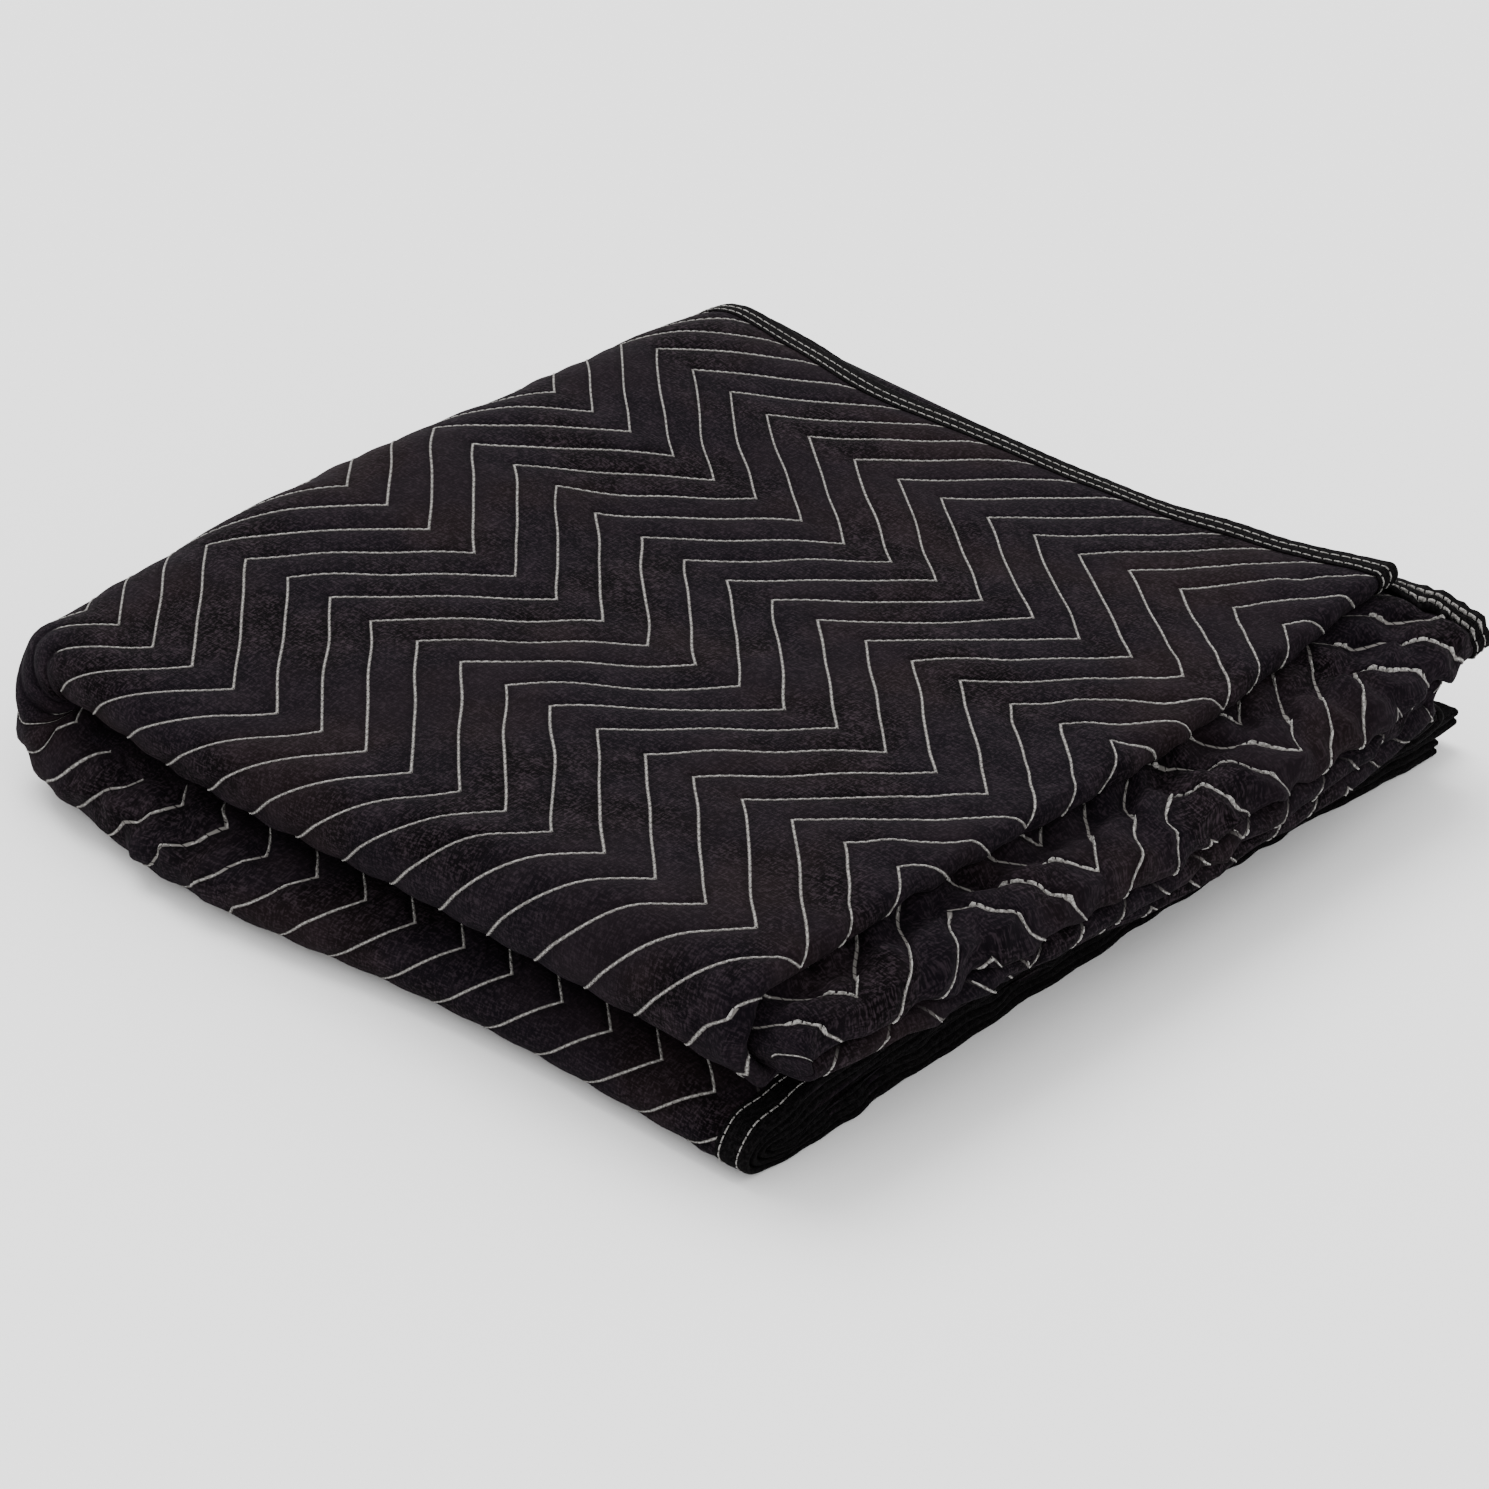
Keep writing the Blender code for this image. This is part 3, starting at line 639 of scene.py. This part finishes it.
def makeSeamThread(s, finish):
    # stitches at even steps along every zigzag seam, kept where the cloth's face shows
    q = quilting
    stepY = s["stitch"] / math.hypot(1.0, q["sway"] / q["rise"])
    low = -sheet["secondSideReach"] + sheet["bindingWidth"]
    high = sheet["width"] - sheet["bindingWidth"]
    places = np.arange(low + stepY, high - stepY / 2, stepY)
    middleY, seam = np.meshgrid(places, np.arange(*s["seams"]))
    middleY, seam = middleY.ravel(), seam.ravel()
    middleX = seamPlace(seam, middleY)
    edge = sheet["bindingWidth"]
    inside = (middleX > looseEnd(middleY) + edge) & (middleX < farEnd(middleY) - edge)
    kept = inside & (seamShows(middleX, middleY) > s["leastShown"])
    middleY, seam = middleY[kept], seam[kept]
    station = np.array(s["along"]) * stepY * s["share"]
    stationY = middleY[:, None] + station[None, :]
    stationX = seamPlace(seam[:, None], stationY)
    surface = sheet["thick"] / 2 + halfThickness(stationX, stationY) + relief(stationX, stationY)
    print("seam stitches:", len(middleY))
    return stitchMesh("seamThread", stationX, stationY, surface, s, finish)


# bound edges
tape = {
    "half": 0.0021, "slot": 0.0013, "lip": 0.0012, "step": 0.004, "ridgeStep": 0.0012,
    # the section's heights, in shares of half, and where it crowns between its sewn lines
    "cutEdge": 0.80, "hemTop": 0.95, "dip": 0.88, "crown": 1.05, "crownAt": (0.70, 0.34),
    "hem": 0.0010, "lipShoulder": (0.7, 0.62),  # shares of lip and of half
    "sideRows": (0.0060, 0.0117), "endRows": (0.0034, 0.0117),  # sewn lines, in from the edge
    "stitch": 0.0050, "share": 0.94, "threadRadius": 0.00030,
    "pucker": 0.00014, "puckerLength": 0.0105,
    # stitches start past the back fold's start, before the crest and before the outer front fold,
    # and the last end past that fold
    "topFrom": 0.010, "secondFrom": 0.004, "endFrom": 0.030, "endTo": 0.004,
}


def tapeSection(s, sewn):
    # (outward, height from the middle), a U whose mouth faces into the sheet
    w, h, hem = sheet["bindingWidth"], s["half"], s["hem"]
    dip = s["dip"] * h  # the tape is drawn in along each sewn line
    between = sewn[1] - sewn[0]
    crown = [(-sewn[0] - share * between, h * s["crown"]) for share in s["crownAt"]]
    shoulderOut, shoulderUp = s["lipShoulder"]
    top = [
        (-w, s["cutEdge"] * h), (-w + hem, h * s["hemTop"]), (-sewn[1], dip), *crown,
        (-sewn[0], dip), (-hem, h), (shoulderOut * s["lip"], shoulderUp * h), (s["lip"], 0.0),
    ]
    outside = top + [(out, -height) for out, height in reversed(top[:-1])]
    bottom, slot = sheet["clearance"], s["slot"]
    return np.array(outside + [(-w, -slot), (bottom, -slot), (bottom, slot), (-w, slot)])


def makeTape(name, stationX, stationY, outX, outY, sewn, s, finish):
    # the section carried along its stations; (outX, outY) points out of the sheet at each one
    section = tapeSection(s, sewn)
    out, height = section[:, 0], section[:, 1]
    ringX = stationX[:, None] + outX * out
    ringY = stationY[:, None] + outY * out
    run = np.concatenate([[0.0], np.cumsum(np.hypot(np.diff(stationX), np.diff(stationY)))])
    pucker = s["pucker"] * np.sin(2.0 * math.pi * run / s["puckerLength"])[:, None]
    shown = (np.abs(height) > s["slot"]) * np.sign(height)
    ringUp = sheet["thick"] / 2 + height + pucker * shown
    points = carry(ringX, ringY, ringUp).reshape(-1, 3)
    count, size = ringX.shape
    corner = np.arange(count - 1)[:, None] * size + np.arange(size)[None, :]
    beside = np.arange(count - 1)[:, None] * size + (np.arange(size)[None, :] + 1) % size
    quads = np.stack([corner, beside, beside + size, corner + size], axis=-1).reshape(-1, 4)
    ends = [list(range(size)), [(count - 1) * size + i for i in reversed(range(size))]]
    faces = quads.tolist() + ends
    # the signed volume tells whether the faces look outwards
    first = points[quads[:, 0]]
    volume = np.einsum("ij,ij->i", first, np.cross(points[quads[:, 1]], points[quads[:, 2]])).sum()
    volume += np.einsum("ij,ij->i", first, np.cross(points[quads[:, 2]], points[quads[:, 3]])).sum()
    if volume < 0:
        faces = [face[::-1] for face in faces]
    lengths = np.hypot(*np.diff(section, axis=0, prepend=section[:1]).T)
    around = np.broadcast_to(np.cumsum(lengths), (count, size))
    along = np.broadcast_to(run[:, None], (count, size))
    maps = [("tapeMap", np.stack([along.ravel(), around.ravel()], axis=1))]
    return meshPiece(name, points, faces, finish, maps)


def sideStations(edge, s):
    # places along a bound side, close together round the ridge
    stops = columnStops(np.array([edge]))[0]
    inset = sheet["bindingWidth"] + sheet["clearance"]
    stops[0], stops[-1] = stops[0] + inset, stops[-1] - inset
    steps = [s["step"]] * 5 + [s["ridgeStep"]] + [s["step"]] * 5
    parts = [evenly(a, b, step) for a, b, step in zip(stops, stops[1:], steps)]
    return np.concatenate(parts + [stops[-1:]])


def makeTapes(s, finish):
    width, reach = sheet["width"], sheet["secondSideReach"]
    made = {}
    for name, node, edge, away in (
        ("topSideTape", "side_binding_top", width, 1.0),
        ("secondSideTape", "side_binding_second", -reach, -1.0),
    ):
        places = sideStations(edge, s)
        edges = np.full_like(places, edge)
        made[node] = makeTape(name, places, edges, 0.0, away, s["sideRows"], s, finish)
    rows = rowPlaces(clothGrid)
    rows[0] -= s["lip"]
    rows[-1] += s["lip"]
    for name, node, ends, away in (
        ("outerEndTape", "end_binding_outer", looseEnd(rows), -1.0),
        ("innerEndTape", "end_binding_inner", farEnd(rows), 1.0),
    ):
        made[node] = makeTape(name, ends, rows, away, 0.0, s["endRows"], s, finish)
    return made


def makeTapeThread(s, finish):
    # two rows of stitches on the top side, second side and outer end tapes, where their faces show
    surface = sheet["thick"] / 2 + s["dip"] * s["half"]
    shares = np.array(thread["along"]) * s["stitch"] * s["share"]
    allX, allY = [], []
    topStart = fold["backStart"] + s["topFrom"]
    topEnd = ridgeStart(sheet["width"]) + fold["endLength"]
    for row in s["sideRows"]:
        places = np.arange(topStart, topEnd, s["stitch"])
        allX.append(places[:, None] + shares)
        allY.append(np.full((len(places), len(shares)), sheet["width"] - row))
        edge = -sheet["secondSideReach"]
        start = crestAt(edge) - s["secondFrom"]
        places = np.arange(start, farEnd(edge) - sheet["bindingWidth"], s["stitch"])
        allX.append(places[:, None] + shares)
        allY.append(np.full((len(places), len(shares)), edge + row))
    middle, half = 3 * quarter, fold["frontLength"] / 2
    for row in s["endRows"]:
        places = np.arange(middle - half - s["endFrom"], middle + half + s["endTo"], s["stitch"])
        stationY = places[:, None] + shares
        allX.append(looseEnd(stationY) + row)
        allY.append(stationY)
    stationX, stationY = np.concatenate(allX), np.concatenate(allY)
    up = np.full_like(stationX, surface)
    settings = {**thread, "radius": s["threadRadius"]}
    return stitchMesh("tapeThread", stationX, stationY, up, settings, finish)


# finishes
class Strand:
    # a socket; arithmetic on it adds Math nodes to its material
    def __init__(self, finish, socket):
        self.finish = finish
        self.socket = socket

    def __add__(self, other):
        return self.finish.maths("ADD", self, other)

    def __sub__(self, other):
        return self.finish.maths("SUBTRACT", self, other)

    def __rsub__(self, other):
        return self.finish.maths("SUBTRACT", other, self)

    def __mul__(self, other):
        return self.finish.maths("MULTIPLY", self, other)


class Finish:
    # a material with its shader's own values set, and a way to add nodes to it
    def __init__(self, name, colour, constants):
        self.material = bpy.data.materials.new(name)
        self.material.use_nodes = True
        self.material.diffuse_color = (*colour, 1.0)
        self.tree = self.material.node_tree
        self.shader = self.tree.nodes["Principled BSDF"]
        self.shader.inputs["Base Color"].default_value = (*colour, 1.0)
        for socket, value in constants.items():
            self.shader.inputs[socket].default_value = value

    def node(self, kind, settings=None, values=None, out=0):
        made = self.tree.nodes.new(kind)
        for key, value in (settings or {}).items():
            setattr(made, key, value)
        for key, value in (values or {}).items():
            self.put(made.inputs[key], value)
        return Strand(self, made.outputs[out])

    def put(self, socket, value):
        if isinstance(value, Strand):
            self.tree.links.new(value.socket, socket)
        else:
            socket.default_value = value

    def maths(self, operation, first, second):
        return self.node("ShaderNodeMath", {"operation": operation}, {0: first, 1: second})

    def scaled(self, vector, factors):
        return self.node("ShaderNodeVectorMath", {"operation": "MULTIPLY"}, {0: vector, 1: factors})

    def noise(self, vector, scale, detail, roughness=0.5):
        values = {"Vector": vector, "Scale": scale, "Detail": detail, "Roughness": roughness}
        return self.node("ShaderNodeTexNoise", {}, values)

    def ease(self, value, low, high):
        # a smooth step from 0 at low to 1 at high
        values = {"Value": value, "From Min": low, "From Max": high}
        return self.node("ShaderNodeMapRange", {"interpolation_type": "SMOOTHSTEP"}, values)

    def uvMap(self, name):
        return self.node("ShaderNodeUVMap", {"uv_map": name})

    def firstOf(self, vector):
        return self.node("ShaderNodeSeparateXYZ", {}, {0: vector})

    def blend(self, share, first, second):
        # Mix node's colour sockets are inputs 6 and 7, and its colour output is number 2
        settings = {"data_type": "RGBA", "clamp_factor": True}
        return self.node("ShaderNodeMix", settings, {0: share, 6: first, 7: second}, out=2)

    def bump(self, height, distance, strength, normal=None):
        values = {"Height": height, "Distance": distance, "Strength": strength}
        if normal is not None:
            values["Normal"] = normal
        return self.node("ShaderNodeBump", {}, values)


# colours are (red, green, blue, 1); an ease is (where a value counts 0, where it counts 1);
# a bump is (height in metres, strength)
clothLook = {
    "dark": (0.0012, 0.00082, 0.0011, 1.0), "light": (0.0240, 0.0168, 0.0212, 1.0),
    "warm": (0.0112, 0.0070, 0.0078, 1.0), "cool": (0.0058, 0.0045, 0.0072, 1.0),
    "line": (0.12, 0.113, 0.107, 1.0), "sheen": (0.75, 0.68, 0.74, 1.0),
    # the darkening at the crease is painted shade along the seams
    "lineWidth": 0.0006, "lineEdge": (1.3, 0.7), "creaseWidth": 0.0050, "creasePaintedShade": 0.45,
    # noise scales, per metre
    "threads": 1150.0, "streaks": 190.0, "patches": 55.0, "grains": 620.0,
    "warmPatches": 11.0, "coolPatches": 14.0, "wrinkles": 75.0,
    "streakShare": 0.3, "grainShare": 0.4, "fleckShare": 0.80, "patchShare": 0.30, "toneDrop": 0.10,
    "rough": 0.94, "fleckSmooth": 0.12,
    "fleckEase": (0.46, 0.61), "patchEase": (0.35, 0.70), "dashEase": (0.03, 0.10),
    "warmEase": (0.45, 0.62), "coolEase": (0.60, 0.44), "warmShare": 0.45, "coolShare": 0.40,
    "weaveBump": (0.0004, 0.40), "creaseBump": (0.0016, 0.75), "wrinkleBump": (0.0022, 0.45),
}


def clothFinish(s):
    finish = Finish("quiltedClothFinish", s["dark"][:3], {
        "Roughness": 0.9, "Specular IOR Level": 0.03, "Sheen Weight": 0.008, "Sheen Roughness": 0.5,
    })
    finish.shader.inputs["Sheen Tint"].default_value = s["sheen"]
    flat = finish.uvMap("clothMap")
    steady = finish.firstOf(finish.uvMap("seamMap"))
    rows = Strand(finish, steady.socket.node.outputs[1])  # the map's second value
    # distance to the nearest seam, in metres, square to its line
    sway = finish.maths("PINGPONG", rows, 1.0) * (quilting["sway"] / quilting["pitch"])
    slant = quilting["pitch"] * math.cos(math.atan2(quilting["sway"], quilting["rise"]))
    away = finish.maths("PINGPONG", steady + sway, 0.5) * slant
    line = finish.ease(away, *(s["lineWidth"] * share for share in s["lineEdge"]))
    perRow = math.hypot(quilting["rise"], quilting["sway"]) / thread["stitch"]
    dash = finish.ease(finish.maths("PINGPONG", rows * perRow, 0.5), *s["dashEase"])
    line = line * dash * finish.firstOf(finish.uvMap("shownMap"))
    # 1 at a seam, easing to 0 at creaseWidth; it shapes the crease bump and sets where the painted
    # shade falls
    crease = finish.ease(away, s["creaseWidth"], 0.0)
    # heather: short streaks along both thread directions, and soft patches
    warp = finish.noise(finish.scaled(flat, (s["threads"], s["streaks"], 1.0)), 1.0, 2.0)
    weft = finish.noise(finish.scaled(flat, (s["streaks"], s["threads"], 1.0)), 1.0, 2.0)
    patch = finish.noise(flat, s["patches"], 4.0, 0.6)
    grain = finish.noise(flat, s["grains"], 2.0, 0.6)
    heather = warp * s["streakShare"] + weft * s["streakShare"] + grain * s["grainShare"]
    fleck = finish.ease(heather, *s["fleckEase"])
    tone = fleck * s["fleckShare"] + finish.ease(patch, *s["patchEase"]) * s["patchShare"]
    # painted shade: the colour darkens towards each seam, where the sunk crease lies in shade
    tone = (tone - s["toneDrop"]) * (1.0 - crease * s["creasePaintedShade"])
    colour = finish.blend(tone, s["dark"], s["light"])
    for kind in ("warm", "cool"):
        noise = finish.noise(flat, s[kind + "Patches"], 3.0)
        share = finish.ease(noise, *s[kind + "Ease"]) * s[kind + "Share"]
        colour = finish.blend(share, colour, s[kind])
    colour = finish.blend(line, colour, s["line"])
    finish.put(finish.shader.inputs["Base Color"], colour)
    finish.put(finish.shader.inputs["Roughness"], s["rough"] - fleck * s["fleckSmooth"])
    weave = finish.bump(warp + weft + grain * 2.0, *s["weaveBump"])
    pulled = finish.bump(1.0 - crease * crease, *s["creaseBump"], weave)
    wrinkle = finish.noise(finish.scaled(flat, (1.0, 1.4, 1.0)), s["wrinkles"], 3.0, 0.55)
    finish.put(finish.shader.inputs["Normal"], finish.bump(wrinkle, *s["wrinkleBump"], pulled))
    return finish.material


tapeLook = {
    "dark": (0.0009, 0.0008, 0.0009, 1.0), "light": (0.0078, 0.0070, 0.0075, 1.0),
    "ribs": 900.0, "fuzz": (420.0, 900.0, 1.0),  # per metre, along and around
    "ribEase": (0.05, 0.45), "fuzzEase": (0.38, 0.70), "fuzzShare": 0.7, "ribShare": 0.15,
    "ribBump": (0.0003, 0.5), "fuzzBump": (0.0008, 0.5),
}


def tapeFinish(s):
    finish = Finish("bindingTapeFinish", s["dark"][:3], {
        "Roughness": 0.9, "Specular IOR Level": 0.02, "Sheen Weight": 0.004, "Sheen Roughness": 0.5,
    })
    flat = finish.uvMap("tapeMap")
    rib = finish.maths("PINGPONG", finish.firstOf(flat) * s["ribs"], 0.5)
    rib = finish.ease(rib, *s["ribEase"])
    fuzz = finish.noise(finish.scaled(flat, s["fuzz"]), 1.0, 3.0)
    tone = finish.ease(fuzz, *s["fuzzEase"]) * s["fuzzShare"] + rib * s["ribShare"]
    finish.put(finish.shader.inputs["Base Color"], finish.blend(tone, s["dark"], s["light"]))
    ribs = finish.bump(rib, *s["ribBump"])
    finish.put(finish.shader.inputs["Normal"], finish.bump(fuzz, *s["fuzzBump"], ribs))
    return finish.material


threadLook = {
    "pale": (0.29, 0.28, 0.268, 1.0), "shade": (0.11, 0.105, 0.10, 1.0),
    "strands": 900.0, "fibres": 1600.0, "strandEase": (0.35, 0.62), "fibreBump": (0.0003, 0.6),
}


def threadFinish(s):
    finish = Finish("sewingThreadFinish", s["pale"][:3], {
        "Roughness": 0.8, "Specular IOR Level": 0.2, "Sheen Weight": 0.05,
    })
    # output 3 of the coordinates is the object's own
    place = finish.node("ShaderNodeTexCoord", out=3)
    tone = finish.ease(finish.noise(place, s["strands"], 2.0), *s["strandEase"])
    finish.put(finish.shader.inputs["Base Color"], finish.blend(tone, s["shade"], s["pale"]))
    fibres = finish.bump(finish.noise(place, s["fibres"], 1.0), *s["fibreBump"])
    finish.put(finish.shader.inputs["Normal"], fibres)
    return finish.material


# making the pieces
clothMaterial = clothFinish(clothLook)
tapeMaterial = tapeFinish(tapeLook)
threadMaterial = threadFinish(threadLook)

cloth = makeCloth(clothGrid, clothMaterial)
print("cloth:", len(cloth.data.vertices), "points")
seamThread = makeSeamThread(thread, threadMaterial)
tapes = makeTapes(tape, tapeMaterial)
tapeThread = makeTapeThread(tape, threadMaterial)
print("tapes and thread made")

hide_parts("quilted_panel")
for node, piece in tapes.items():
    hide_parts(node)
for piece in (cloth, seamThread, tapeThread, *tapes.values()):
    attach(piece, "root")


# floor and light
studio = {
    "floor": (0.94, 0.94, 0.94, 1.0), "floorSize": 30.0, "floorDrop": 0.0002,
    "air": (1.0, 1.0, 1.0, 1.0), "airStrength": 1.75,
    # turn, tilt and spread in degrees
    "sky": {"turn": 160.0, "tilt": 33.0, "spread": 40.0, "strength": 2.8, "height": 2.0},
}


def makeStudio(s):
    reach = s["floorSize"] / 2
    corners = reach * np.array([(-1, -1, 0), (1, -1, 0), (1, 1, 0), (-1, 1, 0)])
    finish = Finish("floorFinish", s["floor"][:3], {"Roughness": 0.9, "Specular IOR Level": 0.1})
    corners[:, 2] -= s["floorDrop"]
    floor = meshPiece("studioFloor", corners, [[0, 1, 2, 3]], finish.material)
    world = bpy.data.worlds.new("studioAir")
    world.use_nodes = True
    air = world.node_tree.nodes["Background"].inputs
    air["Color"].default_value = s["air"]
    air["Strength"].default_value = s["airStrength"]
    bpy.context.scene.world = world
    # a broad soft light from high up, leaning the way turn points
    sky = s["sky"]
    data = bpy.data.lights.new("softSky", "SUN")
    data.angle = math.radians(sky["spread"])
    data.energy = sky["strength"]
    lamp = bpy.data.objects.new(data.name, data)
    lamp.rotation_euler = (0.0, math.radians(sky["tilt"]), math.radians(sky["turn"]))
    lamp.location = (0.0, 0.0, sky["height"])
    bpy.context.scene.collection.objects.link(lamp)


makeStudio(studio)
print("studio ready")
